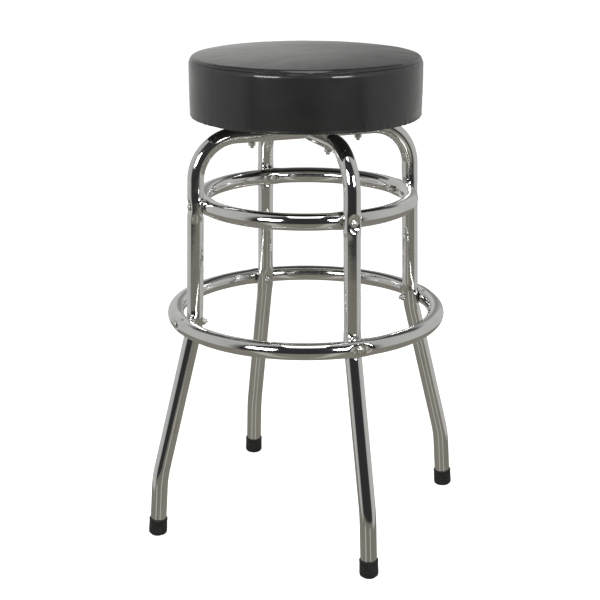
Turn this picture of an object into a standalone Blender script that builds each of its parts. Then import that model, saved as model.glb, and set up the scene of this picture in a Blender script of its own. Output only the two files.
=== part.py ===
"""A chrome bar stool with a padded swivel seat on two crossed tube frames and two rings.

Metres, +Z up, with the origin on the floor under the centre of the seat. The legs stand on the X and Y
axes. Each object is one physical piece of the stool.
"""

import math
from collections import namedtuple

import bmesh
import bpy
from mathutils import Matrix, Vector

MM = 0.001
GAP = 0.3 * MM  # between pieces that touch

# Tubes
TUBE_RADIUS = 12.7 * MM
TUBE_WALL = 1.2 * MM
TUBE_SIDES = 12
BORE_SIDES = 6

# Leg frames: how far each point of a leg's centre line is from the stool's axis, and its height
FOOT_SPREAD = 256 * MM
LOWER_KINK = (249 * MM, 97 * MM)
UPPER_KINK = (185 * MM, 345 * MM)
LEG_TOP_RADIUS = 176.8 * MM
ARM_HEIGHT = 636 * MM
KINK_BEND = 200 * MM
ARM_BEND = 66 * MM
CROSSING_REACH = 18 * MM
CROSSING_FADE = 9 * MM
CROSSING_STATIONS = (28, 21, 14, 7)  # millimetres along an arm from the middle of the crossing
TUBE_END = 6.6 * MM  # above the floor

# Rings: radius and height of the centre line
UPPER_RING = (162 * MM, 531 * MM)
LOWER_RING = (206.7 * MM, 347.8 * MM)
JOINT_REACH = 11.5 * MM
JOINT_FADE = 7 * MM
JOINT_STATIONS = (-15, -7.5, 0, 7.5, 15)  # millimetres along a tube from the middle of a joint
RING_STEPS_BETWEEN_JOINTS = 5

# Fasteners
BOLT_RADIUS = 3 * MM
BOLT_HOLE_RADIUS = 3.6 * MM
HEAD_RADIUS = 5.25 * MM
HEAD_HEIGHT = 3.3 * MM
HEAD_DOME = ((0, 1), (0.68, 0.82), (1, 0.25))  # shares of a head's radius and height, from its crown
HEAD_DISH = 3.6 * MM  # how deep a bolt head presses a tube in
NUT_DISH = 1.0 * MM
DISH_REACH = 6.5 * MM
UPPER_DISH_FADE = 8 * MM
LOWER_DISH_FADE = 15 * MM
NUT_RADIUS = 5.77 * MM
NUT_HEIGHT = 5 * MM
THREAD_PAST_NUT = 3.6 * MM
SCREW_RADIUS = 2.1 * MM
SCREW_HOLE_RADIUS = 2.7 * MM
SCREW_HEAD_RADIUS = 4.5 * MM
SCREW_HEAD_HEIGHT = 2.6 * MM
SCREW_TIP_GAP = 1 * MM

# Feet
FOOT_RADIUS = 14.7 * MM
FOOT_HEIGHT = 27 * MM
FOOT_FLOOR = 5 * MM
FOOT_BORE_RADIUS = 13.1 * MM
FOOT_BASE_RADIUS = 10.5 * MM
FOOT_ROUND = 4.5 * MM  # height of the rounding round its base
FOOT_LIP = 1 * MM
FOOT_SIDES = 14

# Swivel: two pressed plates about a ring of balls
PLATE_SIDE = 150 * MM
PLATE_THICKNESS = 2 * MM
PLATE_CORNER = 9 * MM
FIXING_RADIUS = 88 * MM  # of the bolts and of the screws, from the axis
LOWER_PLATE_BASE = ARM_HEIGHT + TUBE_RADIUS + GAP
BALL_PLANE = LOWER_PLATE_BASE + 6.25 * MM
BALL_RADIUS = 3 * MM
BALL_TRACK_RADIUS = 45 * MM
BALL_COUNT = 12
PRESSED_SHEET = 1.8 * MM
RACE_OUTER_RADIUS = 53.4 * MM
RACE_SIDES = 20
RACE_OVERLAP = 1 * MM  # of the plate's flat over the edge of the pressed race
TRACK_RISE = 1 * MM  # of the pressed sheet above the flat of the plate, under the balls
RIDGE_RISE = 2.4 * MM
RIVET_SEAT_RISE = 2.3 * MM
TRACK_EDGE = 1.8 * MM  # these four are distances from the middle of the ball track
RIDGE_INNER_EDGE = 3.2 * MM
RIDGE_OUTER_EDGE = 5 * MM
RIDGE_FOOT = 6.6 * MM
RIVET_SEAT_RADIUS = 25 * MM
RIVET_SEAT_FOOT = 28 * MM
CAGE_WIDTH = 9 * MM
CAGE_THICKNESS = 1 * MM
CAGE_HOLE_RADIUS = 3.6 * MM
RIVET_RADIUS = 11.6 * MM
RIVET_BORE = 9.6 * MM
RIVET_FLANGE_RADIUS = 16 * MM
RIVET_FLANGE = 1.3 * MM
RIVET_LIFT = 0.8 * MM  # of its lower end above the underside of the lower plate
RIVET_CLEARANCE = 0.5 * MM
RIVET_SIDES = 20

# Seat
SEAT_HEIGHT = 760 * MM
SEAT_RADIUS = 178 * MM
SEAT_BASE_RADIUS = 177.2 * MM
SEAT_SIDES = 32
VINYL = 1.2 * MM
FOLD_INNER_RADIUS = 150 * MM
LIP_INNER_RADIUS = 167 * MM
LIP_DROP = 2.4 * MM  # how far the gathered lower edge of the cover hangs below its fold
LIP_ROUND = 4.5 * MM
SIDE_ROUND = 5 * MM  # inside the cover, round the board
BOARD_RADIUS = 172.5 * MM
BOARD_THICKNESS = 12 * MM
BOARD_CHAMFER = (2 * MM, 3 * MM)  # across and up its lower edge
SCREW_HOLE_COVER = 2 * MM  # of wood left above a screw hole
DUST_COVER_RADIUS = 165 * MM
DUST_COVER_THICKNESS = 0.8 * MM
SEAM_DROP = 13.5 * MM  # of the edge seam below the crown of the seat
BAND_TOP_DROP = 6.5 * MM  # of the foot of the band's shoulder below the seam
BAND_TAPER = 0.4 * MM
CROWN_RADIUS = 167.3 * MM
CROWN_RISE = 6.5 * MM
CROWN_SHARES = (0.92, 0.8, 0.6)  # of its radius, where the crown has an edge
RIM_ROUND = 8 * MM
FOAM_GAP = 0.6 * MM  # inside the cover
FOAM_STEP = 1 * MM

Press = namedtuple("Press", "point direction reach fade")
Joint = namedtuple("Joint", "height contact head_seat nut_seat leg_is_outside dish_fade")
Z = Vector((0, 0, 1))


# Scene and objects


def clear_scene():
    for old in list(bpy.data.objects):
        bpy.data.objects.remove(old, do_unlink=True)
    for old in list(bpy.data.meshes) + list(bpy.data.materials):
        bpy.data.batch_remove([old])


def make_material(name, colour, roughness, metallic):
    material = bpy.data.materials.new(name)
    material.use_nodes = True
    shader = material.node_tree.nodes["Principled BSDF"]
    shader.inputs["Base Color"].default_value = (*colour, 1)
    shader.inputs["Roughness"].default_value = roughness
    shader.inputs["Metallic"].default_value = metallic
    material.diffuse_color = (*colour, 1)
    return material


def make_axis(name, location=(0, 0, 0)):
    """An empty that carries the pieces which move, or stand still, together."""
    axis = bpy.data.objects.new(name, None)
    axis.location = location
    bpy.context.scene.collection.objects.link(axis)
    return axis


def mesh_of(name, bm):
    mesh = bpy.data.meshes.new(name)
    bm.to_mesh(mesh)
    bm.free()
    mesh.shade_smooth()
    mesh.set_sharp_from_angle(angle=math.radians(35))
    return mesh


def place(name, mesh, material, parent, matrix=Matrix()):
    """An object of the mesh, held by parent, with matrix as its place in the stool."""
    piece = bpy.data.objects.new(name, mesh)
    bpy.context.scene.collection.objects.link(piece)
    piece.parent = parent
    piece.matrix_basis = Matrix.Translation(-parent.location) @ matrix
    if not mesh.materials:
        mesh.materials.append(material)
    return piece


def cut_holes(piece, bm):
    """Cuts the closed shapes in bm, given in the piece's own space, out of it."""
    cutter = place(piece.name + "_holes", mesh_of(piece.name + "_holes", bm), None, piece.parent)
    cutter.matrix_basis = piece.matrix_basis.copy()
    cutter.hide_render = True
    cutter.display_type = "WIRE"
    modifier = piece.modifiers.new("Holes", "BOOLEAN")
    modifier.object = cutter
    modifier.solver = "EXACT"


def turned(quarter):
    return Matrix.Rotation(quarter * math.pi / 2, 4, "Z")


def diagonal_fixing(quarter):
    """Where one of a plate's four fixings is, seen from above, with the plate square to the axes."""
    return turned(quarter + 0.5) @ Vector((FIXING_RADIUS, 0, 0))


# Basic shapes


def lathe(profile, sides):
    """A closed body turned about Z from (radius, height) points; a point at radius 0 is a pole."""
    bm = bmesh.new()
    rings = []
    for radius, height in profile:
        count = sides if radius > 0 else 1
        turns = [2 * math.pi * (k + 0.5) / sides for k in range(count)]
        rings.append([bm.verts.new((radius * math.cos(a), radius * math.sin(a), height)) for a in turns])
    whole = profile[0][0] > 0
    pairs = list(zip(rings, rings[1:] + rings[:1]))[: None if whole else -1]
    for lower, upper in pairs:
        for k in range(sides):
            after = (k + 1) % sides
            corners = [lower[k % len(lower)], lower[after % len(lower)]]
            corners += [upper[after % len(upper)], upper[k % len(upper)]]
            bm.faces.new(list(dict.fromkeys(corners)))
    bmesh.ops.recalc_face_normals(bm, faces=bm.faces)
    return bm


def add_cylinder(bm, radius, start, end, sides=8):
    axis = end - start
    matrix = Matrix.Translation((start + end) / 2) @ axis.to_track_quat("Z", "Y").to_matrix().to_4x4()
    bmesh.ops.create_cone(
        bm, cap_ends=True, segments=sides, radius1=radius, radius2=radius, depth=axis.length, matrix=matrix
    )


def sheet_profile(centre_line, thickness):
    """The outline of a bent sheet: the centre line set off by half the thickness to each side."""
    points = [Vector(point) for point in centre_line]
    runs = [(after - before).normalized() for before, after in zip(points, points[1:])]
    sides = ([], [])
    for point, before, after in zip(points, runs[:1] + runs, runs + runs[-1:]):
        mitre = (before + after).normalized()
        across = Vector((-mitre.y, mitre.x)) * thickness / 2 / mitre.dot(after)
        sides[0].append(tuple(point + across))
        sides[1].append(tuple(point - across))
    return sides[0] + sides[1][::-1]


def arc(centre, radius, start, end, pieces):
    """(radius, height) points of an arc between two angles in degrees."""
    angles = [math.radians(start + (end - start) * i / pieces) for i in range(pieces + 1)]
    return [(centre[0] + radius * math.cos(a), centre[1] + radius * math.sin(a)) for a in angles]


# Tubes with flats pressed into them


def pressed(point, presses, depth):
    """The point moved behind each press's flat, less and less beyond the press's reach."""
    for press in presses:
        offset = point - press.point
        height = offset.dot(press.direction)
        proud = height + depth
        if not 0 < proud < TUBE_RADIUS:
            continue
        spread = (offset - press.direction * height).length
        fade = min(max((spread - press.reach) / press.fade, 0), 1)
        share = 1 - fade * fade * (3 - 2 * fade)
        point = point - press.direction * proud * share
    return point


def tube_skin(bm, stations, across, radius, sides, presses, closed):
    """One wall of a tube along stations that lie in a plane. Returns its faces and its end edges."""
    count = len(stations)
    rings = []
    for i, station in enumerate(stations):
        before = stations[i - 1] if closed or i else station
        after = stations[(i + 1) % count] if closed or i < count - 1 else station
        outward = (after - before).normalized().cross(across)
        turns = [2 * math.pi * k / sides for k in range(sides)]
        ring = [station + (outward * math.cos(a) + across * math.sin(a)) * radius for a in turns]
        rings.append([bm.verts.new(pressed(point, presses, TUBE_RADIUS - radius)) for point in ring])
    faces = []
    for i in range(count if closed else count - 1):
        first, second = rings[i], rings[(i + 1) % count]
        for k in range(sides):
            after = (k + 1) % sides
            faces.append(bm.faces.new((first[k], second[k], second[after], first[after])))
    ends = [[bm.edges.get((ring[k - 1], ring[k])) for k in range(sides)] for ring in (rings[0], rings[-1])]
    return faces, ends


def tube(stations, across, presses, closed):
    bm = bmesh.new()
    _, outer_ends = tube_skin(bm, stations, across, TUBE_RADIUS, TUBE_SIDES, presses, closed)
    bore = TUBE_RADIUS - TUBE_WALL
    bore_faces, bore_ends = tube_skin(bm, stations, across, bore, BORE_SIDES, presses, closed)
    bmesh.ops.reverse_faces(bm, faces=bore_faces)
    if not closed:
        for outer_end, bore_end in zip(outer_ends, bore_ends):
            bmesh.ops.bridge_loops(bm, edges=outer_end + bore_end)
        bmesh.ops.recalc_face_normals(bm, faces=bm.faces)
    return bm


def bend(before, corner, after, radius, pieces):
    """Points of the arc that rounds a corner between two straight runs."""
    back = (before - corner).normalized()
    onward = (after - corner).normalized()
    half = back.angle(onward) / 2
    centre = corner + (back + onward).normalized() * radius / math.sin(half)
    start = corner + back * radius / math.tan(half) - centre
    turn = math.pi - 2 * half
    axis = back.cross(onward) * -1
    return [centre + Matrix.Rotation(turn * i / pieces, 3, axis) @ start for i in range(pieces + 1)]


# Leg frames and rings


def leg_line():
    """The centre line of the leg on +X, from its foot up to the start of the arm's straight run."""
    foot = Vector((FOOT_SPREAD, 0, 0))
    lower = Vector((LOWER_KINK[0], 0, LOWER_KINK[1]))
    upper = Vector((UPPER_KINK[0], 0, UPPER_KINK[1]))
    top = Vector((LEG_TOP_RADIUS, 0, ARM_HEIGHT))
    straight = (top - upper).normalized()
    joint = upper + straight * (UPPER_RING[1] - UPPER_KINK[1]) / straight.z
    end = foot + (lower - foot).normalized() * TUBE_END
    return [
        end,
        *bend(foot, lower, upper, KINK_BEND, 2),
        *bend(lower, upper, top, KINK_BEND, 6),
        *[joint + straight * offset * MM for offset in JOINT_STATIONS],
        *bend(upper, top, Vector((0, 0, ARM_HEIGHT)), ARM_BEND, 7),
    ]


def leg_radius_at(height):
    """How far a leg's centre line is from the stool's axis at a height."""
    line = leg_line()
    for below, above in zip(line, line[1:]):
        if below.z <= height <= above.z:
            return below.lerp(above, (height - below.z) / (above.z - below.z)).x
    raise ValueError("no leg at that height")


def ring_joint(ring, dish_fade):
    """Where a ring and a leg meet: the flat between them, and the flats under the bolt head and nut."""
    ring_radius, height = ring
    leg_radius = leg_radius_at(height)
    outside, inside = max(ring_radius, leg_radius), min(ring_radius, leg_radius)
    return Joint(
        height,
        (outside + inside) / 2,
        outside + TUBE_RADIUS - HEAD_DISH,
        inside - TUBE_RADIUS + NUT_DISH,
        leg_radius > ring_radius,
        dish_fade,
    )


def joint_presses(joint, out, is_outside):
    """The two flats that a joint presses into one of its tubes; out points away from the stool's axis."""
    up = Z * joint.height
    side = 1 if is_outside else -1
    contact = Press(up + out * (joint.contact + side * GAP / 2), out * -side, JOINT_REACH, JOINT_FADE)
    seat = joint.head_seat if is_outside else joint.nut_seat
    return [contact, Press(up + out * seat, out * side, DISH_REACH, joint.dish_fade)]


def crossing_press(up):
    """The flat that lets one frame's arm cross the other's at the same height."""
    point = Vector((0, 0, ARM_HEIGHT - up * GAP / 2))
    return Press(point, Z * up, CROSSING_REACH, CROSSING_FADE)


def add_joint_holes(bm, joints, out):
    for joint in joints:
        up = Z * joint.height
        start = out * (joint.nut_seat - TUBE_RADIUS) + up
        add_cylinder(bm, BOLT_HOLE_RADIUS, start, out * (joint.head_seat + TUBE_RADIUS) + up)


def make_leg_frame(name, quarter, pressed_from, joints, material, base):
    """Two legs and the arm between them, bent from one tube, standing in the XZ plane."""
    line = leg_line()
    crossing = [Vector((x * MM, 0, ARM_HEIGHT)) for x in CROSSING_STATIONS]
    half = line + crossing
    mirrored = [Vector((-point.x, 0, point.z)) for point in reversed(half)]
    stations = half + [Vector((0, 0, ARM_HEIGHT))] + mirrored
    presses = [crossing_press(pressed_from)]
    holes = bmesh.new()
    for side in (1, -1):
        out = Vector((side, 0, 0))
        for joint in joints:
            presses += joint_presses(joint, out, joint.leg_is_outside)
        add_joint_holes(holes, joints, out)
        arm = out * FIXING_RADIUS + Z * ARM_HEIGHT
        add_cylinder(holes, BOLT_HOLE_RADIUS, arm - Z * 2 * TUBE_RADIUS, arm + Z * 2 * TUBE_RADIUS)
    bm = tube(stations, Vector((0, -1, 0)), presses, closed=False)
    frame = place(name, mesh_of(name, bm), material, base, turned(quarter))
    cut_holes(frame, holes)


def make_ring(name, ring, joint, material, base):
    radius, height = ring
    near = [offset * MM / radius for offset in JOINT_STATIONS]
    spread = (math.pi / 2 - near[-1] + near[0]) / RING_STEPS_BETWEEN_JOINTS
    between = [near[-1] + spread * i for i in range(1, RING_STEPS_BETWEEN_JOINTS)]
    turns = [quarter * math.pi / 2 + turn for quarter in range(4) for turn in near + between]
    stations = [Vector((radius * math.cos(a), radius * math.sin(a), height)) for a in turns]
    presses = []
    holes = bmesh.new()
    for quarter in range(4):
        out = turned(quarter).to_3x3() @ Vector((1, 0, 0))
        presses += joint_presses(joint, out, not joint.leg_is_outside)
        add_joint_holes(holes, [joint], out)
    bm = tube(stations, Z, presses, closed=True)
    piece = place(name, mesh_of(name, bm), material, base)
    cut_holes(piece, holes)


# Feet and fasteners


def make_feet(material, base):
    """Rubber caps on the tube ends, in line with the tubes and flat where they meet the floor."""
    bm = lathe(
        [
            (0, 0),
            (FOOT_BASE_RADIUS, 0),
            (FOOT_RADIUS - FOOT_LIP, FOOT_ROUND / 3),
            (FOOT_RADIUS, FOOT_ROUND),
            (FOOT_RADIUS, FOOT_HEIGHT - FOOT_LIP),
            (FOOT_RADIUS - 0.7 * FOOT_LIP, FOOT_HEIGHT),
            (FOOT_BORE_RADIUS, FOOT_HEIGHT),
            (FOOT_BORE_RADIUS, FOOT_FLOOR),
            (0, FOOT_FLOOR),
        ],
        FOOT_SIDES,
    )
    splay = math.atan2(FOOT_SPREAD - LOWER_KINK[0], LOWER_KINK[1])
    lift = FOOT_BASE_RADIUS * math.sin(splay)
    tilt = Matrix.Translation((FOOT_SPREAD, 0, lift)) @ Matrix.Rotation(-splay, 4, "Y")
    bmesh.ops.transform(bm, matrix=tilt, verts=bm.verts)
    for vert in bm.verts:
        if vert.co.z < 2.1 * lift and math.hypot(vert.co.x - FOOT_SPREAD, vert.co.y) < 1.1 * FOOT_BASE_RADIUS:
            vert.co.z = 0
    mesh = mesh_of("foot_cap", bm)
    for quarter in range(4):
        place(f"foot_cap_{quarter + 1}", mesh, material, base, turned(quarter))


def bolt_mesh(name, length, radius=BOLT_RADIUS, head_radius=HEAD_RADIUS, head_height=HEAD_HEIGHT):
    """A round-headed bolt along -Z whose head rests on the plane z = 0."""
    profile = [
        *[(head_radius * across, head_height * up) for across, up in HEAD_DOME],
        (head_radius, 0),
        (radius, 0),
        (radius, -length),
        (0, -length),
    ]
    return mesh_of(name, lathe(profile, 8))


def nut_mesh():
    """A hexagon nut from z = 0 down."""
    bore = BOLT_HOLE_RADIUS / math.cos(math.pi / 6)
    profile = [(NUT_RADIUS, 0), (NUT_RADIUS, -NUT_HEIGHT), (bore, -NUT_HEIGHT), (bore, 0)]
    return mesh_of("nut", lathe(profile, 6))


def make_ring_fasteners(name, joint, material, base):
    head = joint.head_seat + GAP
    nut = joint.nut_seat - GAP
    length = head - nut + NUT_HEIGHT + THREAD_PAST_NUT
    bolt = bolt_mesh(name + "_ring_bolt", length)
    nuts = nut_mesh()
    for quarter in range(4):
        out = turned(quarter) @ Matrix.Rotation(math.pi / 2, 4, "Y")
        up = Matrix.Translation((0, 0, joint.height))
        bolt_place = up @ out @ Matrix.Translation((0, 0, head))
        nut_place = up @ out @ Matrix.Translation((0, 0, nut))
        place(f"{name}_ring_bolt_{quarter + 1}", bolt, material, base, bolt_place)
        place(f"{name}_ring_nut_{quarter + 1}", nuts, material, base, nut_place)


def make_swivel_fasteners(material, base):
    head = LOWER_PLATE_BASE + PLATE_THICKNESS + GAP
    nut = ARM_HEIGHT - TUBE_RADIUS - GAP
    bolt = bolt_mesh("swivel_bolt", head - nut + NUT_HEIGHT + THREAD_PAST_NUT)
    nuts = nut_mesh()
    for quarter in range(4):
        out = turned(quarter) @ Matrix.Translation((FIXING_RADIUS, 0, 0))
        place(f"swivel_bolt_{quarter + 1}", bolt, material, base, out @ Matrix.Translation((0, 0, head)))
        place(f"swivel_nut_{quarter + 1}", nuts, material, base, out @ Matrix.Translation((0, 0, nut)))


# Swivel


def pressed_race(level, up):
    """The round middle of a plate: a ball track between two ridges, and a raised seat for the rivet.

    level is the middle of the plate's thickness, and up is 1 for the lower plate, -1 for the upper one.
    """
    ridge = level + RIDGE_RISE * up
    track = level + TRACK_RISE * up
    middle = level + RIVET_SEAT_RISE * up
    section = [(RIDGE_FOOT, level), (RIDGE_OUTER_EDGE, ridge), (RIDGE_INNER_EDGE, ridge), (TRACK_EDGE, track)]
    centre_line = [
        (RACE_OUTER_RADIUS, level),
        *[(BALL_TRACK_RADIUS + away, height) for away, height in section],
        *[(BALL_TRACK_RADIUS - away, height) for away, height in reversed(section)],
        (RIVET_SEAT_FOOT, level),
        (RIVET_SEAT_RADIUS, middle),
        (RIVET_RADIUS + RIVET_CLEARANCE, middle),
    ]
    return sheet_profile(centre_line, PRESSED_SHEET)


def make_swivel_plate(name, base_height, up, turn, hole_radius, material, parent):
    """A square plate with a pressed race, and a fixing hole at each corner."""
    level = base_height + PLATE_THICKNESS / 2
    bm = bmesh.new()
    size = Matrix.Diagonal((PLATE_SIDE, PLATE_SIDE, PLATE_THICKNESS, 1))
    bmesh.ops.create_cube(bm, size=1, matrix=Matrix.Translation((0, 0, level)) @ size)
    uprights = [edge for edge in bm.edges if abs(edge.verts[0].co.z - edge.verts[1].co.z) > MM]
    bmesh.ops.bevel(bm, geom=uprights, offset=PLATE_CORNER, segments=2, profile=0.5, affect="EDGES")
    matrix = Matrix.Rotation(turn, 4, "Z")
    plate = place(name, mesh_of(name, bm), material, parent, matrix)

    holes = bmesh.new()
    middle = Z * level
    reach = Z * PLATE_THICKNESS
    add_cylinder(holes, RACE_OUTER_RADIUS - RACE_OVERLAP, middle - reach, middle + reach, RACE_SIDES)
    for quarter in range(4):
        at = diagonal_fixing(quarter) + middle
        add_cylinder(holes, hole_radius, at - reach, at + reach)
    cut_holes(plate, holes)

    race_mesh = mesh_of(name + "_race", lathe(pressed_race(level, up), RACE_SIDES))
    race = place(name + "_race", race_mesh, material, parent, matrix)
    race.hide_render = True
    race.display_type = "WIRE"
    union = plate.modifiers.new("Race", "BOOLEAN")
    union.operation = "UNION"
    union.object = race
    union.solver = "EXACT"


def make_rivet(material, base):
    """The hollow rivet that holds the plates together, flared at both ends, fast in the lower plate."""
    low = LOWER_PLATE_BASE + RIVET_LIFT
    high = 2 * BALL_PLANE - low
    flange = RIVET_FLANGE_RADIUS
    profile = [
        (RIVET_BORE, low),
        (flange, low),
        (flange, low + RIVET_FLANGE),
        (RIVET_RADIUS, low + RIVET_FLANGE),
        (RIVET_RADIUS, high - RIVET_FLANGE),
        (flange, high - RIVET_FLANGE),
        (flange, high),
        (RIVET_BORE, high),
    ]
    place("swivel_rivet", mesh_of("swivel_rivet", lathe(profile, RIVET_SIDES)), material, base)


def make_ball_cage(cage_material, ball_material, axis):
    half = CAGE_THICKNESS / 2
    inner = BALL_TRACK_RADIUS - CAGE_WIDTH / 2
    outer = BALL_TRACK_RADIUS + CAGE_WIDTH / 2
    profile = [
        (inner, BALL_PLANE - half),
        (outer, BALL_PLANE - half),
        (outer, BALL_PLANE + half),
        (inner, BALL_PLANE + half),
    ]
    cage = place("ball_cage", mesh_of("ball_cage", lathe(profile, 2 * BALL_COUNT)), cage_material, axis)
    bm = bmesh.new()
    bmesh.ops.create_icosphere(bm, subdivisions=2, radius=BALL_RADIUS)
    ball = mesh_of("bearing_ball", bm)
    holes = bmesh.new()
    for i in range(BALL_COUNT):
        angle = 2 * math.pi * (i + 0.5) / BALL_COUNT
        at = Vector((math.cos(angle), math.sin(angle), 0)) * BALL_TRACK_RADIUS + Z * BALL_PLANE
        add_cylinder(holes, CAGE_HOLE_RADIUS, at - Z * CAGE_THICKNESS, at + Z * CAGE_THICKNESS)
        place(f"bearing_ball_{i + 1:02d}", ball, ball_material, axis, Matrix.Translation(at))
    cut_holes(cage, holes)


# Seat


def seat_levels():
    """Heights of the seat's layers, from the upper swivel plate up."""
    plate_top = 2 * BALL_PLANE - LOWER_PLATE_BASE
    dust_cover = plate_top + GAP
    fold = dust_cover + DUST_COVER_THICKNESS + GAP
    board = fold + VINYL + GAP
    return plate_top, dust_cover, fold, board


def upper_profile(inset):
    """The cover's side, rim and crown, moved in by inset, from the middle of its side to its top."""
    seam = SEAT_HEIGHT - SEAM_DROP
    rim = (CROWN_RADIUS, SEAT_HEIGHT - CROWN_RISE - RIM_ROUND)
    return [
        (SEAT_RADIUS - inset, (seat_levels()[2] + seam) / 2),
        (SEAT_RADIUS - BAND_TAPER - inset, seam - BAND_TOP_DROP),
        *arc(rim, RIM_ROUND - inset, 5, 75, 3),
        *[(CROWN_RADIUS * share, SEAT_HEIGHT - CROWN_RISE * share**6 - inset) for share in CROWN_SHARES],
        (0, SEAT_HEIGHT - inset),
    ]


def inside_profile(inset):
    """The inside of the cover moved in by inset, from under the edge of the board round to the top."""
    corner = (SEAT_BASE_RADIUS - SIDE_ROUND, seat_levels()[2] + SIDE_ROUND)
    return [*arc(corner, SIDE_ROUND - inset, -90, -10, 3), *upper_profile(inset)]


def make_vinyl_cover(material, seat):
    """The cover, with a lip of gathered vinyl where it turns under the board."""
    fold = seat_levels()[2]
    lip = (SEAT_BASE_RADIUS - LIP_ROUND, fold - LIP_DROP + LIP_ROUND)
    outer = [
        (FOLD_INNER_RADIUS, fold),
        (LIP_INNER_RADIUS, fold),
        *arc(lip, LIP_ROUND, -90, -10, 3),
        *upper_profile(0),
    ]
    inner = [(FOLD_INNER_RADIUS, fold + VINYL), *inside_profile(VINYL)]
    profile = outer[::-1] + inner
    place("vinyl_cover", mesh_of("vinyl_cover", lathe(profile, SEAT_SIDES)), material, seat)


def make_foam_pad(material, seat):
    base = seat_levels()[3] + BOARD_THICKNESS + GAP
    above = [(r, z) for r, z in inside_profile(VINYL + FOAM_GAP) if z > base + FOAM_STEP]
    profile = [(0, base), (above[0][0] - FOAM_STEP, base), *above]
    place("foam_pad", mesh_of("foam_pad", lathe(profile, SEAT_SIDES)), material, seat)


def add_screw_holes(bm, bottom, top):
    for quarter in range(4):
        at = diagonal_fixing(quarter)
        add_cylinder(bm, SCREW_HOLE_RADIUS, at + Z * bottom, at + Z * top)


def make_board(material, seat):
    """The plywood base, with blind holes for the plate's screws."""
    base = seat_levels()[3]
    top = base + BOARD_THICKNESS
    across, up = BOARD_CHAMFER
    profile = [
        (0, base),
        (BOARD_RADIUS - across, base),
        (BOARD_RADIUS, base + up),
        (BOARD_RADIUS, top),
        (0, top),
    ]
    board = place("seat_board", mesh_of("seat_board", lathe(profile, SEAT_SIDES)), material, seat)
    holes = bmesh.new()
    add_screw_holes(holes, base - BOARD_THICKNESS, top - SCREW_HOLE_COVER)
    cut_holes(board, holes)


def make_dust_cover(material, seat):
    base = seat_levels()[1]
    top = base + DUST_COVER_THICKNESS
    profile = [(0, base), (DUST_COVER_RADIUS, base), (DUST_COVER_RADIUS, top), (0, top)]
    mesh = mesh_of("dust_cover", lathe(profile, SEAT_SIDES))
    cover = place("dust_cover", mesh, material, seat)
    holes = bmesh.new()
    add_screw_holes(holes, base - DUST_COVER_THICKNESS, top + DUST_COVER_THICKNESS)
    cut_holes(cover, holes)


def make_seat_screws(material, seat):
    plate_top, _, _, board = seat_levels()
    head = plate_top - PLATE_THICKNESS - GAP
    length = board + BOARD_THICKNESS - SCREW_HOLE_COVER - SCREW_TIP_GAP - head
    mesh = bolt_mesh("seat_screw", length, SCREW_RADIUS, SCREW_HEAD_RADIUS, SCREW_HEAD_HEIGHT)
    upside_down = Matrix.Rotation(math.pi, 4, "X")
    for quarter in range(4):
        at = diagonal_fixing(quarter) + Z * head
        place(f"seat_screw_{quarter + 1}", mesh, material, seat, Matrix.Translation(at) @ upside_down)


def main():
    clear_scene()
    chrome = make_material("chrome", (0.8, 0.8, 0.78), 0.06, 1)
    rubber = make_material("black_rubber", (0.012, 0.012, 0.013), 0.6, 0)
    zinc = make_material("zinc_plated_steel", (0.62, 0.62, 0.6), 0.3, 1)
    ball_steel = make_material("bearing_steel", (0.7, 0.7, 0.7), 0.15, 1)
    nylon = make_material("nylon", (0.7, 0.68, 0.62), 0.5, 0)
    plywood = make_material("plywood", (0.5, 0.34, 0.19), 0.7, 0)
    foam = make_material("foam", (0.75, 0.7, 0.5), 0.95, 0)
    vinyl = make_material("black_vinyl", (0.02, 0.021, 0.022), 0.38, 0)
    felt = make_material("black_nonwoven", (0.015, 0.015, 0.015), 0.95, 0)

    base = make_axis("base")
    seat = make_axis("seat_swivel_axis", (0, 0, BALL_PLANE))
    cage = make_axis("ball_cage_axis", (0, 0, BALL_PLANE))

    upper_joint = ring_joint(UPPER_RING, UPPER_DISH_FADE)
    lower_joint = ring_joint(LOWER_RING, LOWER_DISH_FADE)
    joints = [upper_joint, lower_joint]
    make_leg_frame("leg_frame_1", 0, 1, joints, chrome, base)
    make_leg_frame("leg_frame_2", 1, -1, joints, chrome, base)
    make_ring("upper_ring", UPPER_RING, upper_joint, chrome, base)
    make_ring("lower_ring", LOWER_RING, lower_joint, chrome, base)
    make_feet(rubber, base)
    make_ring_fasteners("upper", upper_joint, zinc, base)
    make_ring_fasteners("lower", lower_joint, zinc, base)

    upper_plate_base = seat_levels()[0] - PLATE_THICKNESS
    diagonal = math.pi / 4
    make_swivel_plate("swivel_lower_plate", LOWER_PLATE_BASE, 1, diagonal, BOLT_HOLE_RADIUS, zinc, base)
    make_swivel_plate("swivel_upper_plate", upper_plate_base, -1, 0, SCREW_HOLE_RADIUS, zinc, seat)
    make_swivel_fasteners(zinc, base)
    make_rivet(zinc, base)
    make_ball_cage(nylon, ball_steel, cage)

    make_seat_screws(zinc, seat)
    make_dust_cover(felt, seat)
    make_board(plywood, seat)
    make_foam_pad(foam, seat)
    make_vinyl_cover(vinyl, seat)


main()
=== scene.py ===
"""A chrome stool with a round padded swivel seat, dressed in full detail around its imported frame.

Metres, +Z up, in the frame's own space. The legs stand on the X and Y axes; quarter 0 is the leg on +X.
"""

import math
from collections import namedtuple

import bmesh
import bpy
from mathutils import Matrix, Vector, noise


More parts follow.
